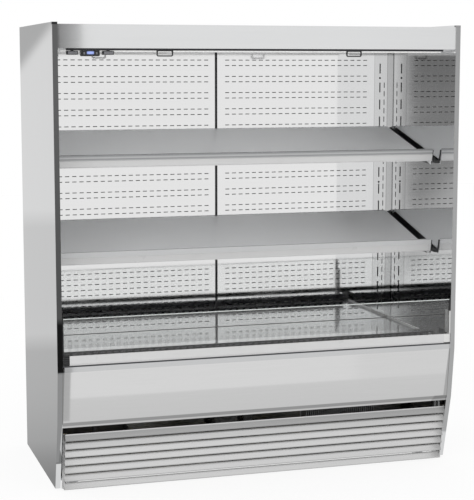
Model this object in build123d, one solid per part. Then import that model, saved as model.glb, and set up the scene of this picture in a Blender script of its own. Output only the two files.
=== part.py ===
"""Open multideck display fridge: stainless cabinet, two tilted shelves, night blind, plug-in cooling unit.

Millimetres. The origin is the centre of the footprint on the floor, +X to the right of someone facing
the open front, +Y to the back and +Z up. A depth is counted back from the front plane of the cabinet.
"""
import os
from math import cos, radians, sin, tan

from build123d import *

os.makedirs("parts", exist_ok=True)

# Overall size
overall_width = 1820.0
overall_depth = 870.0
overall_height = 1980.0

# Sheets and insulation
skin = 1.2
liner = 1.0
end_thickness = 22.0
wall_insulation = 46.0
roof_insulation = 46.0
floor_insulation = 40.0

# Side outline of the end panels: upright front, then two slopes back to the toe
fascia_below_sill = 28.0
fascia_bottom_height = 300.0
fascia_setback = 26.0
fascia_toe_depth = 12.0
fascia_toe_height = 26.0
toe_setback = 101.0
floor_gap = 3.0
edge_cap_height = 10.0
edge_cap_depth = 18.0

# Canopy and night blind
roof_drop = 8.0
canopy_height = 98.0
ceiling_below_canopy = 8.0
blind_bar_height = 11.0
blind_bar_thickness = 9.0
blind_bar_front = 37.0
blind_bar_end_gap = 42.0
blind_roller_radius = 20.0
blind_roll_radius = 30.0
blind_cloth = 0.6
blind_pin_radius = 6.0
blind_pin_clearance = 0.05
cassette_slack = 2.0
outlet_width = 67.0
handle_width = 71.0
handle_drop = 25.0
handle_bar = 5.0
handle_spread = 425.0
handle_shift = -4.0

# Controller and switches under the canopy
controller_inset = 146.0
controller_width = 78.0
controller_height = 24.0
controller_front = 56.0
controller_depth = 28.0
display_width = 30.0
display_height = 12.0
key_width = 7.0
key_height = 9.0
key_travel = 0.8
key_clearance = 0.2
switch_offset = 75.5
switch_width = 47.0
switch_height = 16.0
switch_throw = 12.0

# Back wall
rear_wall = 150.0
back_sheet = 1.0
upright_width = 87.0
centre_gap = 12.0
centre_shift = -7.0
vent_pitch_x = 33.5
vent_pitch_z = 25.5
vent_length = 20.0
vent_height = 3.6
vent_below_ceiling = 36.0
vent_edge = 20.0
vent_dense_below = 840.0
slots_below_ceiling = 144.0
hook_slot_pitch = 41.5
hook_slot_height = 26.0
hook_slot_width = 4.0
hook_slot_inset = 34.0
long_slot_height = 48.0
long_slot_width = 6.0
long_slot_inset = 57.0
locating_hole_radius = 5.0
locating_hole_drops = (-22.0, 488.0, 990.0)
upright_fold_width = 16.0
upright_fold_depth = 4.0

# Shelves
shelf_tilt = 14.4
shelf_front_depth = 182.0
shelf_sheet = 1.5
shelf_end_gap = 23.0
shelf_rear_gap = 12.0
shelf_edge_fold = 20.0
shelf_upstand = 53.0
shelf_hook_rows = (5, 15)
ticket_height = 29.0
ticket_thickness = 4.0
bracket_sheet = 3.0
bracket_gap = 2.0
bracket_rear_height = 90.0
hook_height = 12.0
hook_reach = 6.0
hook_clearance = 0.3
shelf_above_hook = 19.2

# Base: deck, sill, glass, bumper
deck_height = 551.0
deck_sheet = 1.5
deck_front_depth = 192.0
deck_edge_fold = 25.0
side_strip_height = 26.0
side_strip_rise = 10.0
side_strip_thickness = 4.0
sill_above_deck = 5.0
return_face_depth = 120.0
return_face_height = 35.0
return_cover_depth = 65.0
return_end_gap = 29.0
return_frame = 10.0
glass_thickness = 6.0
glass_front = 6.0
glass_above_sill = 199.0
glass_end_gap = 6.0
end_plate_depth = 46.0
end_plate_above_sill = 42.0
end_plate_height = 104.0
bumper_above_sill = 4.0
bumper_height = 37.0
channel_lip = 14.0
channel_wall = 2.0
bumper_cap_length = 28.0

# Louvred lower grille
louvre_count = 7
louvre_bottom = 4.0
louvre_top = 263.0
louvre_lip_depth_bottom = 62.0
louvre_lip_depth_top = 19.0
louvre_reach = 13.0
louvre_sheet = 1.5
louvre_end_gap = 10.0
louvre_side_width = 6.0
louvre_strap_depth = 31.0

# Cooling unit
base_height = 45.0
base_plate = 2.0
fan_radius = 88.0
fan_clearance = 5.0
fan_hub_radius = 26.0
fan_blades = 5
fan_thickness = 30.0
fan_wall_depth = 232.0
fan_spread = 400.0
motor_radius = 30.0
motor_length = 50.0
shaft_radius = 4.0
shaft_clearance = 0.05
compressor_radius = 95.0
compressor_height = 190.0
foot_pad_radius = 25.0
foot_stem_radius = 6.0
foot_inset_x = 90.0
foot_inset_front = 190.0
foot_inset_back = 70.0

# Places worked out from the sizes above
back_wall_depth = overall_depth - rear_wall
sill_height = deck_height + sill_above_deck
fascia_top_height = sill_height - fascia_below_sill
glass_top = sill_height + glass_above_sill
end_plate_bottom = sill_height + end_plate_above_sill
end_plate_top = end_plate_bottom + end_plate_height
bumper_bottom = sill_height + bumper_above_sill
half_width = overall_width / 2
inside = half_width - end_thickness
front_y = -overall_depth / 2
roof_height = overall_height - roof_drop
canopy_bottom = roof_height - canopy_height
ceiling_height = canopy_bottom - ceiling_below_canopy
bar_half = inside - blind_bar_end_gap
bar_middle = blind_bar_front + blind_bar_thickness / 2
roller_depth = bar_middle + blind_cloth / 2 + 0.4 + blind_roll_radius
roller_height = ceiling_height + 49.0
rear_liner_depth = overall_depth - skin - wall_insulation
upright_inner = inside - upright_width
tub_floor = fascia_bottom_height + floor_insulation
shelf_half = inside - shelf_end_gap
slope = radians(shelf_tilt)
controller_centre = controller_inset - inside
vent_top = ceiling_height - vent_below_ceiling
hook_slot_top = ceiling_height - slots_below_ceiling


def block(x0, x1, y0, y1, z0, z1):
    """Rectangular solid; y0 and y1 are depths behind the front plane."""
    middle = ((x0 + x1) / 2, front_y + (y0 + y1) / 2, (z0 + z1) / 2)
    return Pos(*middle) * Box(x1 - x0, y1 - y0, z1 - z0)


def side_prism(outline, x0, x1):
    """Solid with a side outline of (depth, height) points, between two widths."""
    loop = Polyline(*[(x0, front_y + y, z) for y, z in outline], close=True)
    return extrude(make_face(loop), amount=x1 - x0, dir=(1, 0, 0))


def front_prism(outline, y0, y1):
    """Solid with a front outline of (x, height) points, between two depths."""
    loop = Polyline(*[(x, front_y + y0, z) for x, z in outline], close=True)
    return extrude(make_face(loop), amount=y1 - y0, dir=(0, 1, 0))


def rod(axis, centre, radius, length):
    """Cylinder along X, Y or Z; centre is (x, depth, height) of its middle."""
    x, y, z = centre
    turn = {"X": Rot(0, 90, 0), "Y": Rot(90, 0, 0), "Z": Rot(0, 0, 0)}[axis]
    return Pos(x, front_y + y, z) * turn * Cylinder(radius, length)


def both_sides(solid):
    """The solid and its mirror image on the other side of the cabinet."""
    return Compound([*solid.solids(), *mirror(solid, Plane.YZ).solids()])


def save(shape, node):
    """Write one sub-part; separate solids stay separate in it."""
    export_step(shape, f"parts/{node}.step")


def span(count, first, last):
    """Evenly spaced values from first to last."""
    return [first + (last - first) * i / (count - 1) for i in range(count)]


# Cabinet shell

def end_outline(inset):
    """Side outline of an end panel, drawn in by inset all round, with the notch for the edge cap."""
    notch = overall_height - edge_cap_height
    corners = [
        (0, fascia_top_height),
        (0, notch),
        (edge_cap_depth, notch),
        (edge_cap_depth, overall_height),
        (overall_depth, overall_height),
        (overall_depth, floor_gap),
        (toe_setback, floor_gap),
        (fascia_setback, fascia_bottom_height),
    ]
    face = make_face(Polyline(*[(y, z) for y, z in corners], close=True))
    if inset:
        face = offset(face, amount=-inset, kind=Kind.INTERSECTION)
    return face


def end_slab(inset, x0, x1):
    """Slab with the end panel's outline between two widths on the right-hand side."""
    stand = Plane(origin=(x0, front_y, 0), x_dir=(0, 1, 0), z_dir=(1, 0, 0))
    return extrude(stand * end_outline(inset), amount=x1 - x0)


def end_skin():
    """Folded outer tray of an end panel, open towards the inside of the cabinet."""
    return end_slab(0, inside, half_width) - end_slab(skin, inside, half_width - skin)


def end_liner():
    """Flat polished sheet that closes the inner face of an end panel."""
    return end_slab(skin, inside, inside + liner)


def end_core():
    """Foam between the liner and the outer tray of an end panel."""
    return end_slab(skin, inside + liner, half_width - skin)


def edge_cap():
    """Plastic cap in the notch at the top front corner of an end panel."""
    return block(inside, half_width, 0, edge_cap_depth, overall_height - edge_cap_height, overall_height)


body_rear = overall_depth - skin
body_front = 44.0
front_wall_back = 110.0
front_wall_top = sill_height - skin
cassette_front = blind_bar_front + blind_bar_thickness + 1.0
cassette_back = cassette_front + 2 * blind_roll_radius + cassette_slack
outlet_back = cassette_back + outlet_width
roof_core_front = cassette_back + 3.0
roof_core_bottom = roof_height - skin - roof_insulation


def floor_holes():
    """Holes through the floor of the tub for the drain and the two refrigerant pipes."""
    middle = (fascia_bottom_height + tub_floor) / 2
    gap = 0.3
    holes = rod("Z", (drain_x, drain_depth, middle), drain_radius + gap, 3 * floor_insulation)
    for x in (liquid_x, suction_x):
        holes += rod("Z", (x, riser_depth, middle), pipe_radius + gap, 3 * floor_insulation)
    return holes


def body_core():
    """Foam of the roof, back, base floor and low front wall, foamed as one C-shaped piece."""
    outline = [
        (body_front, fascia_bottom_height),
        (body_rear, fascia_bottom_height),
        (body_rear, roof_height - skin),
        (roof_core_front, roof_height - skin),
        (roof_core_front, roof_core_bottom),
        (rear_liner_depth + liner, roof_core_bottom),
        (rear_liner_depth + liner, tub_floor - liner),
        (front_wall_back - liner, tub_floor - liner),
        (front_wall_back - liner, front_wall_top),
        (body_front, front_wall_top),
    ]
    return side_prism(outline, -inside, inside) - floor_holes()


def body_liner():
    """Inner sheet that lines the base tub and runs up the back wall."""
    outline = [
        (front_wall_back - liner, tub_floor - liner),
        (rear_liner_depth + liner, tub_floor - liner),
        (rear_liner_depth + liner, roof_core_bottom),
        (rear_liner_depth, roof_core_bottom),
        (rear_liner_depth, tub_floor),
        (front_wall_back, tub_floor),
        (front_wall_back, front_wall_top),
        (front_wall_back - liner, front_wall_top),
    ]
    return side_prism(outline, -inside, inside) - floor_holes()


def rear_skin():
    """Outer sheet of the back, down to the machine space."""
    return block(-inside, inside, body_rear, overall_depth, fascia_bottom_height, roof_height - skin)


def roof_skin():
    """Outer sheet of the roof, just below the tops of the end panels."""
    return block(-inside, inside, skin, overall_depth, roof_height - skin, roof_height)


fascia_return = 14.0


def canopy_fascia():
    """Front sheet of the canopy, folded back along its lower edge."""
    face = block(-inside, inside, 0, skin, canopy_bottom, roof_height)
    lower = block(-inside, inside, skin, fascia_return, canopy_bottom, canopy_bottom + skin)
    upper = block(-inside, inside, skin, fascia_return, roof_height - 2 * skin, roof_height - skin)
    return face + lower + upper


cassette_lip = 12.0
cassette_end = 4.0
outlet_drop = 24.0


def blind_cassette():
    """Tray that carries the blind roller, with end plates bored for its pins."""
    floor = block(-inside, inside, cassette_front, cassette_back, ceiling_height, ceiling_height + skin)
    lip = block(-inside, inside, cassette_front, cassette_front + skin, ceiling_height,
                ceiling_height + cassette_lip)
    back = block(-inside, inside, cassette_back - skin, cassette_back, ceiling_height,
                 roof_height - skin)
    plate = block(inside - cassette_end, inside, cassette_front, cassette_back, ceiling_height,
                  roof_height - 2 * skin)
    bore = rod("X", (inside, roller_depth, roller_height), blind_pin_radius + blind_pin_clearance,
               4 * cassette_end)
    end = plate - bore
    return floor + lip + back + end + mirror(end, Plane.YZ)


def ceiling_panel():
    """Level sheet under the air duct of the canopy."""
    return block(-inside, inside, outlet_back, back_wall_depth, ceiling_height, ceiling_height + skin)


def air_outlet_grid():
    """Grid that sends the air curtain down behind the blind."""
    frame = block(-inside, inside, cassette_back, outlet_back, ceiling_height, ceiling_height + outlet_drop)
    columns = int(2 * inside // 40)
    cell = 2 * inside / columns
    rows = span(3, cassette_back + 12, outlet_back - 12)
    left = -inside + cell / 2
    cells = [
        block(left + i * cell - cell / 2 + 2, left + i * cell + cell / 2 - 2, y - 7, y + 7,
              ceiling_height - 1, ceiling_height + outlet_drop + 1)
        for i in range(columns)
        for y in rows
    ]
    return frame - cells


lamp_depth = 14.0
lamp_height = 6.0
lamp_front = controller_front + controller_depth + 4.0


def led_lamp():
    """Slim lamp bar screwed under the blind cassette."""
    return block(-inside + 30, inside - 30, lamp_front, lamp_front + lamp_depth,
                 ceiling_height - lamp_height, ceiling_height)


# Night blind

def blind_roller():
    """Sprung tube with a plugged end and a pin on each side."""
    tube_half = bar_half + 12
    axis = (0, roller_depth, roller_height)
    tube = rod("X", axis, blind_roller_radius, 2 * tube_half)
    tube -= rod("X", axis, blind_roller_radius - 1.5, 2 * tube_half - 40)
    for side in (-1, 1):
        length = inside - 0.5 - tube_half
        middle = side * (tube_half + length / 2)
        tube += rod("X", (middle, roller_depth, roller_height), blind_pin_radius, length)
    return tube


def blind_roll():
    """Cloth wound on the roller."""
    wound = rod("X", (0, roller_depth, roller_height), blind_roll_radius, 2 * (bar_half - 6))
    return wound - rod("X", (0, roller_depth, roller_height), blind_roller_radius, 2 * inside)


def blind_fabric():
    """The short stretch of cloth between the roll and the bar."""
    return block(-bar_half + 6, bar_half - 6, bar_middle - blind_cloth / 2, bar_middle + blind_cloth / 2,
                 ceiling_height + blind_bar_height, roller_height)


def blind_bar():
    """Bottom bar of the blind, parked under the canopy."""
    bar = block(-bar_half, bar_half, blind_bar_front, blind_bar_front + blind_bar_thickness,
                ceiling_height, ceiling_height + blind_bar_height)
    return fillet(bar.edges().filter_by(Axis.X), 2.0)


def handle_loop(x):
    """Flat pull loop with rounded lower corners, hanging from the bar."""
    half = handle_width / 2
    top = ceiling_height
    bottom = ceiling_height - handle_drop
    plate = block(x - half, x + half, bar_middle - handle_bar / 2, bar_middle + handle_bar / 2, bottom, top)
    plate = fillet(plate.edges().filter_by(Axis.Y).group_by(Axis.Z)[0], 8.0)
    hole = block(x - half + handle_bar, x + half - handle_bar, bar_middle - handle_bar,
                 bar_middle + handle_bar, bottom + handle_bar, top - 3.0)
    hole = fillet(hole.edges().filter_by(Axis.Y), 4.0)
    return plate - hole


def blind_handles():
    """The two pull loops of the blind."""
    return Compound([handle_loop(side * handle_spread + handle_shift) for side in (-1, 1)])


# Controller and switches

control_middle = ceiling_height - controller_height / 2
display_centre = control_middle + 2.0
key_depth = 4.0
key_offset = display_width / 2 + 11.0


def key_block(x, margin, front, back):
    """Space of one key, or the key itself when margin is 0."""
    return block(x - key_width / 2 - margin, x + key_width / 2 + margin, front, back,
                 control_middle - key_height / 2 - margin, control_middle + key_height / 2 + margin)


def controller_housing():
    """Controller case under the canopy, with a recess for the display and pockets for two keys."""
    half = controller_width / 2
    case = block(controller_centre - half, controller_centre + half, controller_front,
                 controller_front + controller_depth, ceiling_height - controller_height, ceiling_height)
    case = fillet(case.edges().filter_by(Axis.Y).group_by(Axis.Z)[0], 5.0)
    case -= display_window(0.2)
    for side in (-1, 1):
        x = controller_centre + side * key_offset
        case -= key_block(x, key_clearance, controller_front - 1, controller_front + key_depth + 0.2)
    return case


def display_window(margin):
    """Display glass, or its recess when margin is more than 0."""
    half = display_width / 2 + margin
    tall = display_height / 2 + margin
    proud = 0.5 + margin
    return block(controller_centre - half, controller_centre + half, controller_front - proud,
                 controller_front + 2.0, display_centre - tall, display_centre + tall)


def controller_key(side):
    """Push key beside the display, standing proud by its travel."""
    x = controller_centre + side * key_offset
    return key_block(x, 0, controller_front - key_travel, controller_front + key_depth - key_travel)


switch_depth = 20.0
switch_wall = 2.0
rocker_pin = 1.2
rocker_centre_depth = controller_front + 7.0
switch_middle = ceiling_height - 2.0 - switch_height / 2
rocker_half = switch_width / 2 - switch_wall - 1.2
rocker_tall = switch_height / 2 - switch_wall - 0.4


def switch_bezel(x):
    """Frame of a rocker switch, hung under the cassette."""
    half = switch_width / 2
    tall = switch_height / 2
    frame = block(x - half, x + half, controller_front, controller_front + switch_depth,
                  switch_middle - tall, switch_middle + tall)
    frame = fillet(frame.edges().filter_by(Axis.Y), 2.5)
    hollow = block(x - half + switch_wall, x + half - switch_wall, controller_front - 1,
                   controller_front + switch_depth - switch_wall, switch_middle - tall + switch_wall,
                   switch_middle + tall - switch_wall)
    pins = rod("Z", (x, rocker_centre_depth, switch_middle), rocker_pin + shaft_clearance,
               switch_height - switch_wall)
    hanger = block(x - 6, x + 6, controller_front + 4, controller_front + switch_depth - 4,
                   switch_middle + tall, ceiling_height)
    return frame - hollow - pins + hanger


def rocker(x):
    """Rocker that tips about an upright pin; at rest its right half lies in."""
    lean = radians(switch_throw / 2)
    face = controller_front - 1.0
    dish = rocker_half * tan(lean)
    outline = [
        (-rocker_half, face - rocker_centre_depth),
        (0, face + dish - rocker_centre_depth),
        (rocker_half, face - rocker_centre_depth),
        (rocker_half * 0.8, 2.0),
        (0, 5.0),
        (-rocker_half * 0.8, 2.0),
    ]
    loop = Polyline(*[(a, b, -rocker_tall) for a, b in outline], close=True)
    body = extrude(make_face(loop), amount=2 * rocker_tall, dir=(0, 0, 1))
    body += Cylinder(rocker_pin, switch_height - switch_wall - 0.2)
    return Pos(x, front_y + rocker_centre_depth, switch_middle) * Rot(0, 0, switch_throw / 2) * body


# Back wall

def vent_rows():
    """Heights of the vent rows: pairs in the upper wall, every row near the base."""
    rows = []
    step = 0
    height = vent_top
    while height > deck_height + vent_edge:
        if height < vent_dense_below or step % 3 != 2:
            rows.append(height)
        step += 1
        height = vent_top - step * vent_pitch_z
    return rows


def rectangle_wire(x, z, width, height, depth):
    """Closed rectangle in a plane across the cabinet."""
    corners = [(-1, -1), (1, -1), (1, 1), (-1, 1)]
    points = [(x + a * width / 2, front_y + depth, z + b * height / 2) for a, b in corners]
    return Wire(Polyline(*points, close=True).edges())


def back_panel(x0, x1):
    """Sheet of the back wall with rows of short vents."""
    columns = int((x1 - x0 - 2 * vent_edge) // vent_pitch_x)
    middle = (x0 + x1) / 2
    first = middle - (columns - 1) * vent_pitch_x / 2
    bottom = deck_height + 2
    outer = rectangle_wire(middle, (bottom + ceiling_height) / 2, x1 - x0, ceiling_height - bottom,
                           back_wall_depth)
    holes = [
        rectangle_wire(first + i * vent_pitch_x, z, vent_length, vent_height, back_wall_depth)
        for i in range(columns)
        for z in vent_rows()
    ]
    return extrude(Face(outer, holes), amount=back_sheet, dir=(0, 1, 0))


joggle = 14.0
upright_sheet = 1.5


def hook_slot_bottoms():
    """Lower ends of the shelf slots, from the top of the upright down."""
    count = int((hook_slot_top - deck_height - hook_slot_height) // hook_slot_pitch)
    return [hook_slot_top - hook_slot_height - i * hook_slot_pitch for i in range(count)]


def end_upright():
    """Slotted upright in the right-hand back corner, stepped back behind the vented panel."""
    bottom = deck_height + 2
    fold = inside - upright_fold_width
    set_back = back_wall_depth + upright_fold_depth
    front = block(upright_inner, fold, back_wall_depth, back_wall_depth + upright_sheet, bottom,
                  ceiling_height)
    front += block(fold - upright_sheet, fold, back_wall_depth, set_back + upright_sheet, bottom,
                   ceiling_height)
    front += block(fold - upright_sheet, inside, set_back, set_back + upright_sheet, bottom, ceiling_height)
    step = block(upright_inner - joggle, upright_inner + upright_sheet, back_wall_depth + back_sheet,
                 back_wall_depth + back_sheet + upright_sheet, bottom, ceiling_height)
    side = block(inside - upright_sheet, inside, set_back, rear_liner_depth, bottom, ceiling_height)
    slots = []
    for i, z in enumerate(hook_slot_bottoms()):
        x = inside - hook_slot_inset
        slots.append(block(x - hook_slot_width / 2, x + hook_slot_width / 2, back_wall_depth - 1,
                           back_wall_depth + 2 * upright_sheet, z, z + hook_slot_height))
        if i % 2 == 0:
            x = inside - long_slot_inset
            top = z + hook_slot_height
            slots.append(block(x - long_slot_width / 2, x + long_slot_width / 2, back_wall_depth - 1,
                               back_wall_depth + 2 * upright_sheet, top - long_slot_height, top))
    x = inside - long_slot_inset
    first = hook_slot_top + 44.0
    slots.append(block(x - long_slot_width / 2, x + long_slot_width / 2, back_wall_depth - 1,
                       back_wall_depth + 2 * upright_sheet, first, first + long_slot_height))
    for drop in locating_hole_drops:
        slots.append(rod("Y", (x, back_wall_depth, hook_slot_top - drop), locating_hole_radius, 8))
    return front + step + side - slots


centre_recess = 8.0


def centre_upright():
    """Dark channel in the joint between the two vented panels."""
    bottom = deck_height + 2
    depth = back_wall_depth + back_sheet
    left = centre_shift - centre_gap / 2
    right = centre_shift + centre_gap / 2
    wings = block(left - joggle, right + joggle, depth, depth + upright_sheet, bottom, ceiling_height)
    trough = block(left - upright_sheet, right + upright_sheet, depth, depth + centre_recess, bottom,
                   ceiling_height)
    hollow = block(left, right, depth - 1, depth + centre_recess - upright_sheet, bottom - 1,
                   ceiling_height + 1)
    leg = block(left, right, depth + centre_recess, rear_liner_depth, bottom, ceiling_height)
    return wings + trough - hollow + leg


# Shelves

shelf_rear_depth = back_wall_depth - shelf_rear_gap
shelf_depth = (shelf_rear_depth - shelf_front_depth) / cos(slope)


def pivot_height(row):
    """Height where the upper hooks of a shelf bear, hung in that row of slots."""
    return hook_slot_bottoms()[row] + hook_clearance


def on_shelf(row, along, above):
    """Depth and height of a point given along the shelf from its rear edge and above its surface."""
    rear = pivot_height(row) + shelf_above_hook
    depth = shelf_rear_depth - along * cos(slope) - above * sin(slope)
    return depth, rear - along * sin(slope) + above * cos(slope)


def shelf_prism(row, outline, x0, x1):
    """Solid with an outline given along and above the tilted shelf."""
    return side_prism([on_shelf(row, a, b) for a, b in outline], x0, x1)


def shelf(row):
    """Folded shelf: flat plate, upstand with a hem in front, short flanges down behind and at the ends."""
    t = shelf_sheet
    hem = 10.0
    outline = [
        (0, 0),
        (0, -shelf_edge_fold),
        (t, -shelf_edge_fold),
        (t, -t),
        (shelf_depth, -t),
        (shelf_depth, shelf_upstand),
        (shelf_depth - hem, shelf_upstand),
        (shelf_depth - hem, shelf_upstand - t),
        (shelf_depth - t, shelf_upstand - t),
        (shelf_depth - t, 0),
    ]
    plate = shelf_prism(row, outline, -shelf_half, shelf_half)
    flange = [(t, -t), (t, -shelf_edge_fold), (shelf_depth - 4, -shelf_edge_fold), (shelf_depth - 4, -t)]
    for side in (-1, 1):
        x = side * (shelf_half - t / 2)
        plate += shelf_prism(row, flange, x - t / 2, x + t / 2)
    return plate


def ticket_strip(row):
    """Pale channel for price tickets along the lower half of the upstand."""
    a = shelf_depth
    b = shelf_depth + ticket_thickness
    wall = 1.4
    outline = [
        (a, -shelf_sheet),
        (b, -shelf_sheet),
        (b, wall),
        (a + wall, wall),
        (a + wall, ticket_height - 2 * wall),
        (b - wall, ticket_height - 2 * wall),
        (b - wall, ticket_height),
        (a, ticket_height),
    ]
    return shelf_prism(row, outline, -shelf_half, shelf_half)


def hook(row, drop, height):
    """Side outline of a hook whose underside rises behind the upright, so that the shelf can tilt up."""
    bearing = pivot_height(row) - drop
    front = back_wall_depth - hook_clearance - bracket_sheet
    tip = back_wall_depth + upright_sheet + hook_reach
    rise = (tip - back_wall_depth) * tan(slope)
    return [
        (front, bearing),
        (back_wall_depth, bearing),
        (tip, bearing + rise),
        (tip, bearing + rise + height),
        (front, bearing + height),
    ]


def shelf_bracket(row):
    """Right-hand bracket: blade beside the shelf, ledge under it and two hooks for the upright."""
    inner = shelf_half + bracket_gap
    outer = inner + bracket_sheet
    pivot = pivot_height(row)
    plate_back = back_wall_depth - hook_clearance
    plate_front = plate_back - bracket_sheet
    end = shelf_depth - 1
    nose = 10.0
    foot = pivot - bracket_rear_height
    outline = [
        (plate_front, pivot + 1.0),
        on_shelf(row, 20, -1),
        on_shelf(row, end - nose, -1),
        on_shelf(row, end - nose, shelf_upstand - 6),
        on_shelf(row, end, shelf_upstand - 3),
        on_shelf(row, end, -14),
        on_shelf(row, end - 40, -shelf_edge_fold - 8),
        (plate_front, foot),
    ]
    blade = side_prism(outline, inner, outer)
    ledge_in = shelf_half - 16
    ledge_outline = [
        (20, -shelf_edge_fold),
        (20, -shelf_edge_fold - 2),
        (end - 40, -shelf_edge_fold - 2),
        (end - 40, -shelf_edge_fold),
    ]
    ledge = shelf_prism(row, ledge_outline, ledge_in, inner)
    left = inside - hook_slot_inset - bracket_sheet / 2
    rear = block(left, outer, plate_front, plate_back, foot, pivot + 1.0)
    bracket = blade + ledge + rear
    bracket += side_prism(hook(row, 0, 4.0), left, left + bracket_sheet)
    bracket += side_prism(hook(row, 2 * hook_slot_pitch, hook_height), left, left + bracket_sheet)
    return bracket


# Base

ledge_width = 12.0


def deck():
    """Lift-out deck plate with folded edges."""
    half = inside - side_strip_thickness - 1.0
    back = back_wall_depth - 4
    plate = block(-half, half, deck_front_depth, back, deck_height - deck_sheet, deck_height)
    for y in (deck_front_depth, back - deck_sheet):
        plate += block(-half + ledge_width + 3, half - ledge_width - 3, y, y + deck_sheet,
                       deck_height - deck_edge_fold, deck_height - deck_sheet)
    return plate


def side_strip():
    """Pale strip along the right-hand end of the deck, with the ledge that the deck lies on."""
    top = deck_height + side_strip_rise
    back = back_wall_depth - 1
    strip = block(inside - side_strip_thickness, inside, deck_front_depth, back, top - side_strip_height, top)
    ledge_top = deck_height - deck_sheet
    ledge = block(inside - side_strip_thickness - 1.0 - ledge_width, inside - side_strip_thickness,
                  deck_front_depth + 3, back - 6, ledge_top - 2, ledge_top)
    return strip + ledge


strip_front = 2.0


def front_sill():
    """Folded sheet over the low front wall, open under the return rail for the air."""
    top = block(-inside, inside, strip_front, deck_front_depth - 2, sill_height - skin, sill_height)
    drop = block(-inside, inside, strip_front, strip_front + skin, fascia_top_height, sill_height)
    half = inside - return_end_gap - return_frame
    air = block(-half, half, return_face_depth + return_frame,
                return_face_depth + return_cover_depth - return_frame, sill_height - 5, sill_height + 5)
    return top + drop - air


def return_grille():
    """Dark rail where the air goes back into the base: slotted front face and plain rear face."""
    half = inside - return_end_gap
    top = sill_height + return_face_height
    face = block(-half, half, return_face_depth, return_face_depth + 2, sill_height, top)
    columns = int(2 * half // 30)
    pitch = 2 * half / columns
    slots = [
        block(-half + (i + 0.5) * pitch - 9, -half + (i + 0.5) * pitch + 9, return_face_depth - 1,
              return_face_depth + 3, z - 2, z + 2)
        for i in range(columns)
        for z in (sill_height + 10, sill_height + 18, sill_height + 26)
    ]
    back = return_face_depth + return_cover_depth
    rear = block(-half, half, back - shelf_sheet, back, sill_height, top)
    return Compound([*(face - slots).solids(), rear])


def return_cover():
    """Steel cover on top of the return rail."""
    half = inside - return_end_gap
    top = sill_height + return_face_height
    back = return_face_depth + return_cover_depth
    return block(-half, half, return_face_depth, back, top, top + shelf_sheet)


def glass_riser():
    """Clear pane that stands in front of the deck."""
    half = inside - glass_end_gap
    pane = block(-half, half, glass_front, glass_front + glass_thickness, bumper_bottom, glass_top)
    return chamfer(pane.edges().filter_by(Axis.X).group_by(Axis.Z)[-1], 0.8)


def glass_end_plate():
    """Plate on the end panel that steadies the pane."""
    return block(inside - glass_end_gap, inside, 1.0, end_plate_depth, end_plate_bottom, end_plate_top)


def glass_buffer():
    """Rubber edge piece between the pane and the end panel, above the plate."""
    return block(inside - glass_end_gap, inside, glass_front - 2, glass_front + glass_thickness + 2,
                 end_plate_top, glass_top)


bumper_half = inside - 2.0


def bumper():
    """Pale strip along the front edge, drawn in one with the channel that holds the pane."""
    half = bumper_half - bumper_cap_length
    top = bumper_bottom + bumper_height
    glass_back = glass_front + glass_thickness
    outline = [
        (glass_back + channel_wall, sill_height),
        (3, sill_height),
        (3, bumper_bottom),
        (1.5, bumper_bottom),
        (0, bumper_bottom + 3),
        (0, top - 3),
        (1.5, top),
        (glass_front, top),
        (glass_front, bumper_bottom),
        (glass_back, bumper_bottom),
        (glass_back, bumper_bottom + channel_lip),
        (glass_back + channel_wall, bumper_bottom + channel_lip),
    ]
    return side_prism(outline, -half, half)


def bumper_cap():
    """Ribbed end piece of the bumper, right-hand side."""
    inner = bumper_half - bumper_cap_length
    top = bumper_bottom + bumper_height
    cap = block(inner, bumper_half, 0, glass_front, bumper_bottom - 1, top)
    for z in span(4, bumper_bottom + 4, top - 5):
        cap -= block(inner + 2, bumper_half + 1, -1, 1.2, z, z + 2)
    return cap


def front_fascia():
    """Sloping front sheet between the sill strip and the lower grille, folded in at both long edges."""
    low = fascia_bottom_height + 8
    drop = (fascia_top_height - low) / (fascia_top_height - fascia_bottom_height) * fascia_setback
    toe = drop + fascia_toe_depth
    toe_bottom = low - fascia_toe_height
    outline = [
        (1.0, fascia_top_height),
        (drop, low),
        (toe, toe_bottom),
        (toe + skin, toe_bottom),
        (drop + skin, low + skin),
        (1.0 + skin, fascia_top_height - skin),
        (16.0, fascia_top_height - skin),
        (16.0, fascia_top_height),
    ]
    return side_prism(outline, -inside + 1, inside - 1)


louvre_half = inside - louvre_end_gap
louvre_pitch = (louvre_top - louvre_bottom) / louvre_count
louvre_rise = louvre_pitch - 8


def louvre_lip(i):
    """Depth and height of the lip of a louvre, counted up from the floor."""
    share = i / (louvre_count - 1)
    depth = louvre_lip_depth_bottom + (louvre_lip_depth_top - louvre_lip_depth_bottom) * share
    return depth, louvre_bottom + i * louvre_pitch


def strap_lean():
    """Depth that the side straps lose for each millimetre of height."""
    low_depth, low = louvre_lip(0)
    top_depth, top = louvre_lip(louvre_count - 1)
    return (low_depth - top_depth) / (top + louvre_rise - low)


def louvre(i):
    """One blade: face leaning back from a rounded lip, with a short fold under the lip."""
    y, z = louvre_lip(i)
    t = louvre_sheet
    outline = [
        (y + 9, z),
        (y + 2, z),
        (y, z + 2),
        (y, z + 5),
        (y + louvre_reach, z + louvre_rise),
        (y + louvre_reach, z + louvre_rise - 4),
        (y + t, z + 4.6),
        (y + t, z + 2.6),
        (y + 2.6, z + t),
        (y + 9, z + t),
    ]
    return side_prism(outline, -louvre_half, louvre_half)


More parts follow.
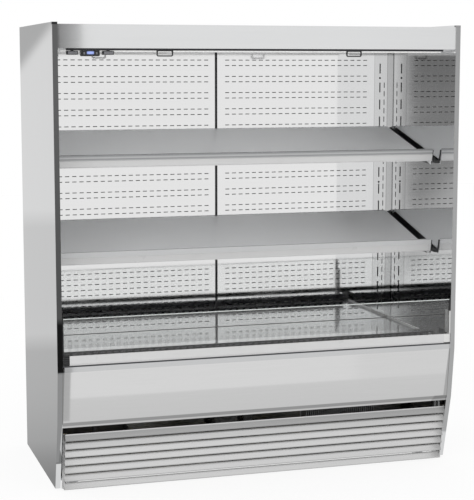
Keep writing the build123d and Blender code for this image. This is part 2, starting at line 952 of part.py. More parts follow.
def louvre_grille():
    """Lower grille: seven lapped blades between two cheeks, each with a sloping strap behind."""
    grille = louvre(0)
    for i in range(1, louvre_count):
        grille += louvre(i)
    low_depth, low = louvre_lip(0)
    top_depth, top = louvre_lip(louvre_count - 1)
    top += louvre_rise

    def slanted(front, back, x0, x1):
        outline = [
            (low_depth + front, low),
            (top_depth + front, top),
            (top_depth + back, top),
            (low_depth + back, low),
        ]
        return side_prism(outline, x0, x1)

    cheek = slanted(7, louvre_strap_depth, louvre_half - 2, louvre_half)
    strap = slanted(louvre_strap_depth - 6, louvre_strap_depth, louvre_half - 12,
                    louvre_half + louvre_side_width)
    side = cheek + strap
    return grille + side + mirror(side, Plane.YZ)


# Cooling unit

def comb(x0, x1, z0, z1, pitch, fin, web):
    """Front outline of a finned block: thin fins up and down from a web along its middle."""
    middle = (z0 + z1) / 2
    count = int((x1 - x0 - fin) // pitch) + 1
    start = (x0 + x1) / 2 - (count - 1) * pitch / 2
    upper = []
    lower = []
    for i in range(count):
        x = start + i * pitch
        left = x - fin / 2
        right = x + fin / 2
        upper += [(left, middle + web), (left, z1), (right, z1), (right, middle + web)]
        lower += [(left, middle - web), (left, z0), (right, z0), (right, middle - web)]
    return upper + lower[::-1]


coil_front = 330.0
coil_back = 560.0
coil_top = deck_height - deck_edge_fold - 12


def evaporator_coil():
    """Finned evaporator on the floor of the tub, with two end plates."""
    half = inside - 60
    coil = front_prism(comb(-half, half, tub_floor, coil_top, 24, 3, 8), coil_front, coil_back)
    for z in span(4, tub_floor + 30, coil_top - 30):
        coil += block(-half - 8, half + 8, coil_front + 30, coil_front + 42, z - 5, z + 5)
        coil += block(-half - 8, half + 8, coil_back - 42, coil_back - 30, z - 5, z + 5)
    for side in (-1, 1):
        x = side * (half + 7)
        coil += block(x - 1, x + 1, coil_front - 5, coil_back + 5, tub_floor, coil_top)
    return coil


fan_middle_height = tub_floor + fan_radius + fan_clearance + 5
motor_gap = 3.0


def fan_wall():
    """Upright plate across the tub with two round fan openings."""
    top = deck_height + side_strip_rise - side_strip_height
    plate = block(-inside, inside, fan_wall_depth, fan_wall_depth + 2, tub_floor, top)
    for side in (-1, 1):
        plate -= rod("Y", (side * fan_spread, fan_wall_depth, fan_middle_height),
                     fan_radius + fan_clearance, 20)
    return plate


def fan(x, depth, height):
    """Fan wheel about a Y axis: hub with pitched blades, bored for the motor shaft."""
    wheel = Cylinder(fan_hub_radius, fan_thickness)
    reach = fan_radius - fan_hub_radius
    for i in range(fan_blades):
        blade = Pos(fan_hub_radius - 4 + (reach + 4) / 2, 0, 0) * Rot(32, 0, 0) * Box(reach + 2, 44, 2.2)
        wheel += Rot(0, 0, 360 / fan_blades * i) * blade
    wheel = wheel & Cylinder(fan_radius, fan_thickness)
    wheel -= Cylinder(shaft_radius + shaft_clearance, 2 * fan_thickness)
    return Pos(x, front_y + depth, height) * Rot(90, 0, 0) * wheel


fan_plane = fan_wall_depth + 2 + fan_thickness / 2 - 8
plate_top = floor_gap + base_height
condenser_x = inside - 458.0
condenser_front = 190.0
condenser_depth = 70.0
condenser_half = 170.0
condenser_bottom = plate_top + base_plate
condenser_top = fascia_bottom_height - 34
condenser_middle = (condenser_bottom + condenser_top) / 2
shroud_depth = condenser_front + condenser_depth
condenser_fan_depth = shroud_depth + 2 + fan_thickness / 2 + 6


def fan_motors():
    """The three fan motors, all alike: two in the tub and one behind the condenser."""
    tub_start = fan_plane + fan_thickness / 2 + motor_gap
    tub_wall = fan_wall_depth + 2
    motors = [motor_with_legs(side * fan_spread, tub_start, fan_middle_height, tub_wall) for side in (-1, 1)]
    start = condenser_fan_depth + fan_thickness / 2 + motor_gap
    motors.append(motor_with_legs(condenser_x, start, condenser_middle, shroud_depth + 2))
    return Compound(motors)


def motor_with_legs(x, start, height, wall):
    """Motor can and shaft, held by a strap whose legs reach forward to a wall plate."""
    can = rod("Y", (x, start + motor_length / 2, height), motor_radius, motor_length)
    shaft = rod("Y", (x, start - (fan_thickness + motor_gap) / 2, height), shaft_radius,
                fan_thickness + motor_gap)
    half = fan_radius + fan_clearance + 12
    body = can + shaft + block(x - half, x + half, start + 4, start + 8, height - 9, height + 9)
    for side in (-1, 1):
        end = x + side * (half - 4)
        body += block(end - 4, end + 4, wall, start + 8, height - 9, height + 9)
    return body


def condenser():
    """Finned condenser with a sheet shroud behind it, open where the fan draws air."""
    x0 = condenser_x - condenser_half
    x1 = condenser_x + condenser_half
    coil = front_prism(comb(x0, x1, condenser_bottom, condenser_top, 10, 2, 6), condenser_front, shroud_depth)
    plate = block(x0, x1, shroud_depth, shroud_depth + 2, condenser_bottom, condenser_top)
    plate -= rod("Y", (condenser_x, shroud_depth, condenser_middle), fan_radius + fan_clearance, 20)
    return coil + plate


compressor_x = -60.0
compressor_depth = 420.0


def compressor():
    """Hermetic compressor: domed can on a foot plate, with its terminal box and two stubs."""
    low = plate_top + base_plate
    middle = low + 12 + compressor_height / 2
    can = rod("Z", (compressor_x, compressor_depth, middle), compressor_radius, compressor_height)
    can = fillet(can.edges().filter_by(GeomType.CIRCLE), 34.0)
    foot = block(compressor_x - 115, compressor_x + 115, compressor_depth - 75, compressor_depth + 75,
                 low, low + 14)
    terminal = block(compressor_x + compressor_radius - 12, compressor_x + compressor_radius + 34,
                     compressor_depth - 28, compressor_depth + 28, low + 70, low + 140)
    return can + foot + terminal


pipe_radius = 6.0
pipe_bend = 12.0
riser_depth = 300.0
liquid_x = condenser_x + condenser_half - 20
suction_x = compressor_x - 50
drain_radius = 12.0
drain_x = 260.0 - inside
drain_depth = overall_depth - 230.0


def pipe(points):
    """Bent pipe through points given as (x, depth, height)."""
    line = FilletPolyline(*[(x, front_y + y, z) for x, y, z in points], radius=pipe_bend)
    return sweep(Plane(origin=line @ 0, z_dir=line % 0) * Circle(pipe_radius), path=line)


def refrigerant_pipes():
    """Discharge, liquid and suction pipes between the compressor, condenser and evaporator."""
    compressor_top = plate_top + base_plate + 12 + compressor_height
    rise = condenser_top + 22
    manifold = condenser_front + 34
    coil_middle = (tub_floor + coil_top) / 2
    start_x = compressor_x + 20
    entry_x = condenser_x - condenser_half + 20
    discharge = pipe([
        (start_x, compressor_depth, compressor_top),
        (start_x, compressor_depth, rise),
        (start_x, manifold, rise),
        (entry_x, manifold, rise),
        (entry_x, manifold, condenser_top),
    ])
    liquid = pipe([
        (liquid_x, manifold, condenser_top),
        (liquid_x, manifold, rise),
        (liquid_x, riser_depth, rise),
        (liquid_x, riser_depth, coil_middle),
        (liquid_x, coil_front, coil_middle),
    ])
    suction = pipe([
        (suction_x, coil_front, coil_middle),
        (suction_x, riser_depth, coil_middle),
        (suction_x, riser_depth, compressor_top + 20),
        (suction_x, compressor_depth, compressor_top + 20),
        (suction_x, compressor_depth, compressor_top),
    ])
    return Compound([discharge, liquid, suction])


def drain_tray():
    """Shallow tray that catches the defrost water."""
    low = plate_top + base_plate
    back = overall_depth - 70
    left = 90 - inside
    tray = block(left, left + 350, back - 330, back, low, low + 40)
    return tray - block(left + 2, left + 348, back - 328, back - 2, low + 2, low + 41)


def drain_pipe():
    """Tube from the floor of the tub down into the tray."""
    low = plate_top + base_plate + 2
    top = tub_floor - liner
    tube = rod("Z", (drain_x, drain_depth, (low + top) / 2), drain_radius, top - low)
    tube -= rod("Z", (drain_x, drain_depth, (low + top) / 2), drain_radius - 2, 2 * top)
    return tube - block(drain_x - 20, drain_x + 20, drain_depth - 5, drain_depth + 5, low - 1, low + 12)


gland_x = inside - 248.0
gland_height = 130.0
service_depth = overall_depth - 24.0


def electrical_box():
    """Box for the mains terminals, fixed to the base plate."""
    low = plate_top + base_plate
    return block(gland_x - 110, gland_x + 110, service_depth - 150, service_depth - 14, low, low + 150)


def service_panel():
    """Lower back panel with vent slots for the warm air."""
    low = plate_top + base_plate
    panel = block(-inside, inside, service_depth, service_depth + 1.5, low, fascia_bottom_height)
    for x in span(14, -inside + 130, inside - 420):
        for z in span(6, low + 60, fascia_bottom_height - 50):
            panel -= block(x - 30, x + 30, service_depth - 1, service_depth + 3, z - 3, z + 3)
    return panel - rod("Y", (gland_x, service_depth, gland_height), 10.05, 20)


def cable_gland():
    """Mains inlet gland through the service panel."""
    body = rod("Y", (gland_x, service_depth + 2, gland_height), 10, 32)
    collar = rod("Y", (gland_x, service_depth + 1.5 + 3, gland_height), 15, 6)
    nut = rod("Y", (gland_x, service_depth - 3, gland_height), 14, 6)
    return body + collar + nut - rod("Y", (gland_x, service_depth, gland_height), 5, 60)


def service_screws():
    """Pan-head screws of the service panel."""
    low = plate_top + base_plate
    screws = []
    for x in span(6, -inside + 40, inside - 40):
        for z in (low + 14, fascia_bottom_height - 14):
            head = rod("Y", (x, service_depth + 1.5 + 1.2, z), 4.5, 2.4)
            screws += fillet(head.edges().filter_by(GeomType.CIRCLE).group_by(Axis.Y)[-1], 1.0).solids()
    return Compound(screws)


rail_width = 40.0


def base_frame():
    """Welded base: plate on two lengthways and two cross rails, bored for the feet."""
    frame = block(-inside, inside, toe_setback + 26, service_depth, plate_top, plate_top + base_plate)
    bottom = floor_gap + 14
    for y in (foot_inset_front, overall_depth - foot_inset_back):
        frame += block(-inside, inside, y - rail_width / 2, y + rail_width / 2, bottom, plate_top)
    for side in (-1, 1):
        x = side * (half_width - foot_inset_x)
        frame += block(x - rail_width / 2, x + rail_width / 2, foot_inset_front,
                       overall_depth - foot_inset_back, bottom, plate_top)
        post_x = side * (louvre_half + louvre_side_width / 2 - 2)
        frame += block(post_x - 5, post_x + 5, toe_setback + 26, toe_setback + 38, plate_top,
                       fascia_bottom_height)
        frame += block(post_x - 5, post_x + 5, low_catch_depth(), toe_setback + 38, plate_top,
                       plate_top + 12)
    for x, y in foot_places():
        frame -= rod("Z", (x, y, plate_top), foot_stem_radius + shaft_clearance, 4 * base_height)
    return frame


def low_catch_depth():
    """Depth of the back of the louvre strap at the height of the lower catch."""
    low_depth, low = louvre_lip(0)
    return low_depth + louvre_strap_depth - strap_lean() * (plate_top - low)


def foot_places():
    """Width and depth of each levelling foot."""
    return [
        (side * (half_width - foot_inset_x), y)
        for side in (-1, 1)
        for y in (foot_inset_front, overall_depth - foot_inset_back)
    ]


def levelling_foot(x, y):
    """Screw foot with a round pad and a lock nut under the rail."""
    bottom = floor_gap + 14
    pad = rod("Z", (x, y, 4), foot_pad_radius, 8)
    pad = chamfer(pad.edges().filter_by(GeomType.CIRCLE).group_by(Axis.Z)[-1], 2.5)
    stem = rod("Z", (x, y, (8 + plate_top) / 2), foot_stem_radius, plate_top - 8)
    nut = Pos(x, front_y + y, bottom - 3) * extrude(RegularPolygon(11, 6), amount=3)
    return pad + stem + nut


def build():
    """Write every sub-part."""
    save(both_sides(end_skin()), "end_skins")
    save(both_sides(end_liner()), "end_liners")
    save(Compound([*both_sides(end_core()).solids(), *body_core().solids()]), "foam_insulation")
    save(both_sides(edge_cap()), "edge_caps")
    save(body_liner(), "body_liner")
    save(Compound([rear_skin(), roof_skin()]), "rear_and_roof_skins")
    save(canopy_fascia(), "canopy_fascia")
    save(Compound([blind_cassette(), ceiling_panel()]), "cassette_and_ceiling")
    save(air_outlet_grid(), "air_outlet_grid")
    save(led_lamp(), "led_lamp")
    save(blind_roller(), "blind_roller")
    save(blind_roll(), "blind_roll")
    save(blind_fabric(), "blind_fabric")
    save(blind_bar(), "blind_bar")
    save(blind_handles(), "blind_handles")
    save(controller_housing(), "controller_housing")
    save(display_window(0), "controller_display")
    save(controller_key(-1), "key_down")
    save(controller_key(1), "key_up")
    places = (controller_centre - switch_offset, controller_centre + switch_offset)
    save(Compound([switch_bezel(x) for x in places]), "switch_bezels")
    save(rocker(places[0]), "lamp_rocker")
    save(rocker(places[1]), "fan_rocker")
    left_edge = centre_shift - centre_gap / 2
    right_edge = centre_shift + centre_gap / 2
    save(back_panel(-upright_inner, left_edge), "back_panel_left")
    save(back_panel(right_edge, upright_inner), "back_panel_right")
    save(both_sides(end_upright()), "end_uprights")
    save(centre_upright(), "centre_upright")
    for row, name in zip(shelf_hook_rows, ("top", "middle")):
        save(shelf(row), f"shelf_{name}")
        save(ticket_strip(row), f"ticket_strip_{name}")
        save(both_sides(shelf_bracket(row)), f"shelf_brackets_{name}")
    save(deck(), "deck")
    save(both_sides(side_strip()), "deck_side_strips")
    save(Compound([front_sill(), return_cover()]), "sill_and_return_cover")
    save(return_grille(), "return_grille")
    save(glass_riser(), "glass_riser")
    save(both_sides(glass_end_plate()), "glass_end_plates")
    save(both_sides(glass_buffer()), "glass_buffers")
    save(bumper(), "bumper")
    save(both_sides(bumper_cap()), "bumper_caps")
    save(front_fascia(), "front_fascia")
    save(louvre_grille(), "louvre_grille")
    save(fan_wall(), "fan_wall")
    save(fan(-fan_spread, fan_plane, fan_middle_height), "evaporator_fan_left")
    save(fan(fan_spread, fan_plane, fan_middle_height), "evaporator_fan_right")
    save(fan(condenser_x, condenser_fan_depth, condenser_middle), "condenser_fan")
    save(fan_motors(), "fan_motors")
    save(Compound([evaporator_coil(), *condenser().solids()]), "evaporator_and_condenser")
    save(compressor(), "compressor")
    save(refrigerant_pipes(), "refrigerant_pipes")
    save(Compound([drain_tray(), drain_pipe()]), "drain_tray_and_pipe")
    save(Compound([electrical_box(), cable_gland()]), "mains_box_and_gland")
    save(service_panel(), "service_panel")
    save(service_screws(), "service_screws")
    save(base_frame(), "base_frame")
    for (x, y), name in zip(foot_places(), ("front_left", "rear_left", "front_right", "rear_right")):
        save(levelling_foot(x, y), f"foot_{name}")


build()
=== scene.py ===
import math

import bpy
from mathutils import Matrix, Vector


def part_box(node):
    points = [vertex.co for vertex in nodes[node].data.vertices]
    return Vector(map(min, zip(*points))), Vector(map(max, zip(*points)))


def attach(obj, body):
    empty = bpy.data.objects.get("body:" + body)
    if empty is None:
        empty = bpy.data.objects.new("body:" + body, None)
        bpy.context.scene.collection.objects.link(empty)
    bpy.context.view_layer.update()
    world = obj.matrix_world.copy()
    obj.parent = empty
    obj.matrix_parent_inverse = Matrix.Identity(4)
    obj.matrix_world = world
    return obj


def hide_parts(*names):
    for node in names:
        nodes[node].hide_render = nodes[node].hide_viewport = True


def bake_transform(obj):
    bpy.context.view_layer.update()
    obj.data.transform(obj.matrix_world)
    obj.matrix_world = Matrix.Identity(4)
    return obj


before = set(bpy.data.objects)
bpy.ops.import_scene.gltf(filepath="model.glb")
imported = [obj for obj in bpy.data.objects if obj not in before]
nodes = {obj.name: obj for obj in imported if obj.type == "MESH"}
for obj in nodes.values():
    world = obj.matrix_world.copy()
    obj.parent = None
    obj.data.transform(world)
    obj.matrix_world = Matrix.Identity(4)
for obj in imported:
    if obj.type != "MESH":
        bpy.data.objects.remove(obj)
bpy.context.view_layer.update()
scene = bpy.context.scene

# Lengths are metres in the cabinet's own frame: X to the right, Y to the back, Z up from the floor.
FRONT_Y = -0.435
WHITE = (1, 1, 1, 1)

# ---------------------------------------------------------------------------------------------------
# Camera
# ---------------------------------------------------------------------------------------------------

YAW, PITCH = 0.2999, 0.1274
camera = bpy.data.objects.new("camera", bpy.data.cameras.new("camera"))
scene.collection.objects.link(camera)
camera.data.lens = 102.9
camera.data.sensor_width = 36.0
camera.data.clip_end = 200.0
camera.location = (-1.9242, -6.2513, 1.798)
looking = Vector((math.sin(YAW) * math.cos(PITCH), math.cos(YAW) * math.cos(PITCH), -math.sin(PITCH)))
camera.rotation_mode = "QUATERNION"
camera.rotation_quaternion = looking.to_track_quat("-Z", "Y")
scene.camera = camera


# ---------------------------------------------------------------------------------------------------
# Node building
# ---------------------------------------------------------------------------------------------------

# Noise cells per metre across X, Y and Z, for a brushed grain that runs along one axis.
GRAIN = {"x": (5.0, 700.0, 700.0), "z": (700.0, 700.0, 5.0)}
BANDS = {"x": (0.7, 60.0, 60.0), "z": (60.0, 60.0, 0.7)}
NOISE_LOW, NOISE_HIGH = 0.3, 0.7
SHEET_RELIEF, COAT_RELIEF = 0.0002, 0.0003


class Tree:
    """Short way to write a node tree."""

    def __init__(self, tree):
        self.tree = tree
        tree.nodes.clear()

    def node(self, kind, *links, **settings):
        """A node; links are (socket, source) pairs and in_NAME settings are input values."""
        made = self.tree.nodes.new(kind)
        for key, value in settings.items():
            if key.startswith("in_"):
                made.inputs[key[3:].replace("_", " ")].default_value = value
            else:
                setattr(made, key, value)
        for socket, source in links:
            self.link(source, made.inputs[socket])
        return made

    def link(self, source, target):
        self.tree.links.new(source, target)

    def maths(self, operation, a, b=None):
        made = self.tree.nodes.new("ShaderNodeMath")
        made.operation = operation
        for i, value in enumerate((a, b)):
            if value is None:
                continue
            if isinstance(value, (int, float)):
                made.inputs[i].default_value = value
            else:
                self.link(value, made.inputs[i])
        return made.outputs[0]

    def plus(self, a, b):
        return self.maths("ADD", a, b)

    def minus(self, a, b):
        return self.maths("SUBTRACT", a, b)

    def times(self, a, b):
        return self.maths("MULTIPLY", a, b)

    def greater(self, a, b):
        return self.maths("MAXIMUM", a, b)

    def over(self, value, limit):
        return self.maths("GREATER_THAN", value, limit)

    def under(self, value, limit):
        return self.maths("LESS_THAN", value, limit)

    def wave(self, length, pitch):
        """Sine along a length, one crest in every pitch."""
        return self.maths("SINE", self.times(length, 2 * math.pi / pitch))

    def between(self, value, low, high, to_low=0.0, to_high=1.0, smooth=False):
        made = self.node("ShaderNodeMapRange", (0, value), clamp=True)
        if smooth:
            made.interpolation_type = "SMOOTHSTEP"
        for i, number in enumerate((low, high, to_low, to_high)):
            made.inputs[i + 1].default_value = number
        return made.outputs[0]

    def stretch(self, noise, to_low=0.0, to_high=1.0):
        """The range in which a noise mostly lies, brought to other limits."""
        return self.between(noise, NOISE_LOW, NOISE_HIGH, to_low, to_high)

    def band(self, value, low, high, soft=0.0005):
        """One between two limits, nothing outside them."""
        return self.times(self.between(value, low - soft, low + soft),
                          self.between(value, high - soft, high + soft, 1.0, 0.0))

    def mix(self, share, a, b):
        made = self.tree.nodes.new("ShaderNodeMix")
        made.data_type = "RGBA"
        for i, value in ((0, share), (6, a), (7, b)):
            if isinstance(value, (int, float)):
                made.inputs[i].default_value = value
            elif isinstance(value, tuple):
                made.inputs[i].default_value = (*value, 1.0)
            else:
                self.link(value, made.inputs[i])
        return made.outputs[2]

    def grey(self, tone):
        return self.node("ShaderNodeCombineColor", (0, tone), (1, tone), (2, tone)).outputs[0]

    def ramp(self, value, stops):
        """Straight runs between (value, level) pairs."""
        low, high = stops[0][0], stops[-1][0]
        made = self.node("ShaderNodeValToRGB", (0, self.between(value, low, high)))
        for i, (at, level) in enumerate(stops):
            share = (at - low) / (high - low)
            if i < 2:
                stop = made.color_ramp.elements[i]
                stop.position = share
            else:
                stop = made.color_ramp.elements.new(share)
            stop.color = (level, level, level, 1.0)
        return made.outputs[0]

    def axes(self, source="Object"):
        """X, Y and Z; for Object they are the width, depth and height in the cabinet's frame."""
        where = self.node("ShaderNodeTexCoord")
        return self.node("ShaderNodeSeparateXYZ", (0, where.outputs[source])).outputs

    def place(self, scale):
        where = self.node("ShaderNodeTexCoord")
        mapped = self.node("ShaderNodeMapping", (0, where.outputs["Object"]))
        mapped.inputs["Scale"].default_value = scale
        return mapped.outputs[0]

    def noise(self, scale, detail=2.0, rough=0.5):
        made = self.node("ShaderNodeTexNoise", (0, self.place(scale)), in_Scale=1.0, in_Detail=detail,
                         in_Roughness=rough)
        return made.outputs["Fac"]

    def even_noise(self, scale, detail=2.0, rough=0.5):
        return self.noise((scale, scale, scale), detail, rough)

    def grain(self, along):
        return self.noise(GRAIN[along], 3.0, 0.6)

    def smudges(self):
        return self.noise((3.1, 3.1, 2.3), 3.0)

    def cells(self, scale):
        return self.node("ShaderNodeTexVoronoi", ("Vector", self.place((scale, scale, scale))),
                         feature="F1", in_Scale=1.0)

    def bump(self, height, strength, distance):
        made = self.node("ShaderNodeBump", ("Height", height), in_Strength=strength, in_Distance=distance)
        return made.outputs[0]

    def mix_shader(self, share, a, b):
        return self.node("ShaderNodeMixShader", (0, share), (1, a.outputs[0]), (2, b.outputs[0]))


def material(name):
    made = bpy.data.materials.new(name)
    made.use_nodes = True
    tree = Tree(made.node_tree)
    out = tree.node("ShaderNodeOutputMaterial")
    surface = tree.node("ShaderNodeBsdfPrincipled")
    tree.link(surface.outputs[0], out.inputs["Surface"])
    return made, tree, surface


def dress(tree, surface, colour, gloss, relief=None, metal=0.0):
    """Give a surface its colour, roughness, relief and share of metal."""
    tree.link(colour, surface.inputs["Base Color"])
    tree.link(gloss, surface.inputs["Roughness"])
    if relief is not None:
        tree.link(relief, surface.inputs["Normal"])
    if isinstance(metal, float):
        surface.inputs["Metallic"].default_value = metal
    else:
        tree.link(metal, surface.inputs["Metallic"])


def scaled(colour, factor):
    return tuple(min(1.0, c * factor) for c in colour)


# ---------------------------------------------------------------------------------------------------
# Families of materials
# ---------------------------------------------------------------------------------------------------

def steel(name, colour, rough, grain="z", contrast=0.05, spread=0.05, smudge=0.04, depth=0.12):
    """Brushed sheet: fine grain, broad bands of it, and soft smudges in its gloss."""
    made, tree, surface = material(name)
    fine = tree.grain(grain)
    bands = tree.noise(BANDS[grain], 2.0)
    streaks = tree.plus(tree.times(fine, 0.65), tree.times(bands, 0.35))
    tones = tree.mix(tree.stretch(streaks), scaled(colour, 1 - contrast), scaled(colour, 1 + contrast))
    brushed = tree.between(fine, 0.25, 0.75, rough - spread, rough + spread)
    handled = tree.between(tree.smudges(), 0.35, 0.7, -smudge / 2, smudge)
    dress(tree, surface, tones, tree.plus(brushed, handled), tree.bump(fine, depth, SHEET_RELIEF), 1.0)
    return made


def zinc(name, colour, rough, size=55.0):
    """Zinc coated sheet with its crystal pattern."""
    made, tree, surface = material(name)
    crystals = tree.cells(size)
    flakes = tree.node("ShaderNodeSeparateColor", (0, crystals.outputs["Color"])).outputs
    clouds = tree.even_noise(4.0, 4.0)
    tone = tree.plus(tree.times(flakes[0], 0.6), tree.times(clouds, 0.4))
    tones = tree.mix(tone, scaled(colour, 0.88), scaled(colour, 1.1))
    gloss = tree.between(flakes[1], 0.0, 1.0, rough - 0.07, rough + 0.09)
    dress(tree, surface, tones, gloss, tree.bump(flakes[2], 0.06, SHEET_RELIEF), 1.0)
    return made


def coat(name, colour, rough, peel=900.0, depth=0.08, mottle=0.03, specular=0.5, clear=0.0):
    """Powder coat or moulded plastic: fine peel, and a slight mottle of its tone and gloss."""
    made, tree, surface = material(name)
    fine = tree.even_noise(peel)
    clouds = tree.even_noise(9.0, 4.0)
    tones = tree.mix(tree.stretch(clouds), scaled(colour, 1 - mottle), scaled(colour, 1 + mottle))
    gloss = tree.stretch(clouds, rough - 0.04, rough + 0.05)
    dress(tree, surface, tones, gloss, tree.bump(fine, depth, COAT_RELIEF))
    surface.inputs["Specular IOR Level"].default_value = specular
    surface.inputs["Coat Weight"].default_value = clear
    return made


def sided_moulding(name, peel, left_tones, right_tones, gloss, depth=0.08, rib_pitch=None):
    """End pieces, darker on the left of the cabinet, where they may be ribbed, and paler on its right."""
    made, tree, surface = material(name)
    width, _, height = tree.axes()
    right = tree.over(width, 0.0)
    fine = tree.even_noise(peel)
    tones = tree.mix(right, tree.mix(fine, *left_tones), tree.mix(fine, *right_tones))
    if rib_pitch:
        relief = tree.bump(tree.times(tree.wave(height, rib_pitch), tree.minus(1.0, right)), 0.9, 0.0012)
    else:
        relief = tree.bump(fine, depth, COAT_RELIEF)
    dress(tree, surface, tones, tree.stretch(fine, *gloss), relief)
    return made


# ---------------------------------------------------------------------------------------------------
# Materials of one piece each
# ---------------------------------------------------------------------------------------------------

def foam_material():
    made, tree, surface = material("cut_foam")
    bubbles = tree.cells(420.0).outputs["Distance"]
    clouds = tree.even_noise(12.0, 4.0)
    tones = tree.mix(tree.stretch(clouds), (0.70, 0.58, 0.33), (0.82, 0.72, 0.47))
    dress(tree, surface, tones, tree.between(bubbles, 0.0, 0.8, 0.75, 0.95), tree.bump(bubbles, 0.5, 0.001))
    return made


def cloth_material():
    """Metallised woven cloth: warp and weft threads, with slubs."""
    thread_pitch = 0.0007
    made, tree, surface = material("blind_weave")
    width, _, height = tree.axes()
    woven = tree.times(tree.wave(width, thread_pitch), tree.wave(height, thread_pitch))
    threads = tree.between(woven, -1.0, 1.0)
    slubs = tree.noise((30.0, 900.0, 900.0), 2.0)
    tone = tree.plus(tree.times(threads, 0.5), tree.times(slubs, 0.5))
    tones = tree.mix(tone, (0.44, 0.45, 0.47), (0.66, 0.67, 0.69))
    dress(tree, surface, tones, tree.stretch(slubs, 0.38, 0.52), tree.bump(threads, 0.25, SHEET_RELIEF), 0.35)
    surface.inputs["Sheen Weight"].default_value = 0.2
    return made


def glass_material():
    """Clear pane with a faint green cast, a few dust specks in its gloss and a ground top edge."""
    ground_height, ground_soft, ground_share = 0.0035, 0.0005, 0.75
    made, tree, surface = material("clear_pane")
    out = made.node_tree.nodes["Material Output"]
    dust = tree.even_noise(260.0, 4.0, 0.7)
    clouds = tree.noise((4.0, 4.0, 7.0), 3.0)
    film = tree.plus(tree.between(dust, 0.62, 0.8, 0.0, 0.05), tree.between(clouds, 0.4, 0.75, 0.0, 0.012))
    dress(tree, surface, tree.mix(clouds, (0.975, 0.988, 0.984), (0.985, 0.993, 0.99)), film)
    surface.inputs["Transmission Weight"].default_value = 1.0
    surface.inputs["IOR"].default_value = 1.5
    surface.inputs["Specular IOR Level"].default_value = 0.2
    ground = tree.node("ShaderNodeBsdfDiffuse")
    ground.inputs["Color"].default_value = (0.80, 0.84, 0.82, 1.0)
    edge_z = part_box("glass_riser")[1].z - ground_height
    edge = tree.times(tree.between(tree.axes()[2], edge_z, edge_z + ground_soft), ground_share)
    tree.link(tree.mix_shader(edge, surface, ground).outputs[0], out.inputs["Surface"])
    return made


def display_material():
    """Lit window: a blue glow, brighter in the middle, behind a fine grid."""
    grid_pitch = 0.0012
    made, tree, surface = material("lit_window")
    low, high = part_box("controller_display")
    width, _, height = tree.axes()
    across = tree.between(width, low.x, high.x, -1.0, 1.0)
    upward = tree.between(height, low.z, high.z, -1.0, 1.0)
    away = tree.plus(tree.times(across, across), tree.times(upward, upward))
    glow = tree.between(away, 0.2, 1.9, 1.0, 0.25, smooth=True)
    grid = tree.wave(width, grid_pitch)
    lines = tree.times(glow, tree.between(grid, -1.0, 1.0, 0.82, 1.0))
    tree.link(tree.mix(lines, (0.03, 0.05, 0.16), (0.42, 0.52, 1.0)), surface.inputs["Emission Color"])
    surface.inputs["Emission Strength"].default_value = 0.85
    dress(tree, surface, tree.mix(lines, (0.02, 0.03, 0.08), (0.05, 0.08, 0.2)),
          tree.between(grid, -1.0, 1.0, 0.06, 0.14))
    return made


def lamp_material():
    """Frosted cover of the lit lamp, brighter at each chip behind it."""
    chip_pitch = 0.018
    made, tree, surface = material("lit_cover")
    chips = tree.wave(tree.axes()[0], chip_pitch)
    fine = tree.even_noise(1500.0)
    tree.link(tree.between(chips, -1.0, 1.0, 0.26, 0.32), surface.inputs["Emission Strength"])
    surface.inputs["Emission Color"].default_value = (1.0, 0.995, 0.98, 1.0)
    dress(tree, surface, tree.mix(fine, (0.60, 0.60, 0.595), (0.64, 0.64, 0.635)),
          tree.stretch(fine, 0.26, 0.34))
    return made


def grille_material():
    """Return grille: black front strip; the rear strip is grey, and paler along its foot."""
    between_strips_y = -0.28
    foot_z, above_foot_z = 0.566, 0.574
    made, tree, surface = material("return_grille_coat")
    fine = tree.even_noise(1300.0)
    clouds = tree.even_noise(9.0, 4.0)
    _, depth, height = tree.axes()
    front = tree.mix(clouds, (0.008, 0.008, 0.010), (0.012, 0.012, 0.014))
    rear = tree.mix(tree.between(height, foot_z, above_foot_z), (0.16, 0.16, 0.17), (0.085, 0.085, 0.095))
    tones = tree.mix(tree.over(depth, between_strips_y), front, rear)
    dress(tree, surface, tones, tree.stretch(clouds, 0.38, 0.47), tree.bump(fine, 0.10, COAT_RELIEF))
    surface.inputs["Specular IOR Level"].default_value = 0.25
    return made


def sill_material():
    """Sill sheet with its satin front drop, a painted shadow line under the bumper and the pale cover."""
    drop_back_y = FRONT_Y + 0.0045
    painted_shadow_low_z, painted_shadow_high_z = 0.5495, 0.5560
    cover_low_z = 0.575
    made, tree, surface = material("sill_and_cover")
    _, depth, height = tree.axes()
    fine = tree.grain("x")
    clouds = tree.even_noise(9.0, 3.0)
    front = tree.under(depth, drop_back_y)
    # Painted shadow: the drop is made black and matt just under the bumper, standing in for its shade.
    painted_shadow = tree.times(front, tree.band(height, painted_shadow_low_z, painted_shadow_high_z))
    bright = tree.greater(front, tree.over(height, cover_low_z))
    plain = tree.mix(fine, (0.46, 0.465, 0.47), (0.49, 0.495, 0.50))
    satin = tree.mix(fine, (0.60, 0.605, 0.61), (0.64, 0.645, 0.65))
    painted_shadow_tone = tree.mix(clouds, (0.026, 0.026, 0.030), (0.036, 0.036, 0.041))
    gloss = tree.plus(tree.stretch(clouds, 0.08, 0.12), tree.times(painted_shadow, 0.25))
    dress(tree, surface, tree.mix(painted_shadow, tree.mix(bright, plain, satin), painted_shadow_tone), gloss,
          tree.bump(fine, 0.01, SHEET_RELIEF), tree.between(painted_shadow, 0.0, 1.0, 1.0, 0.0))
    return made


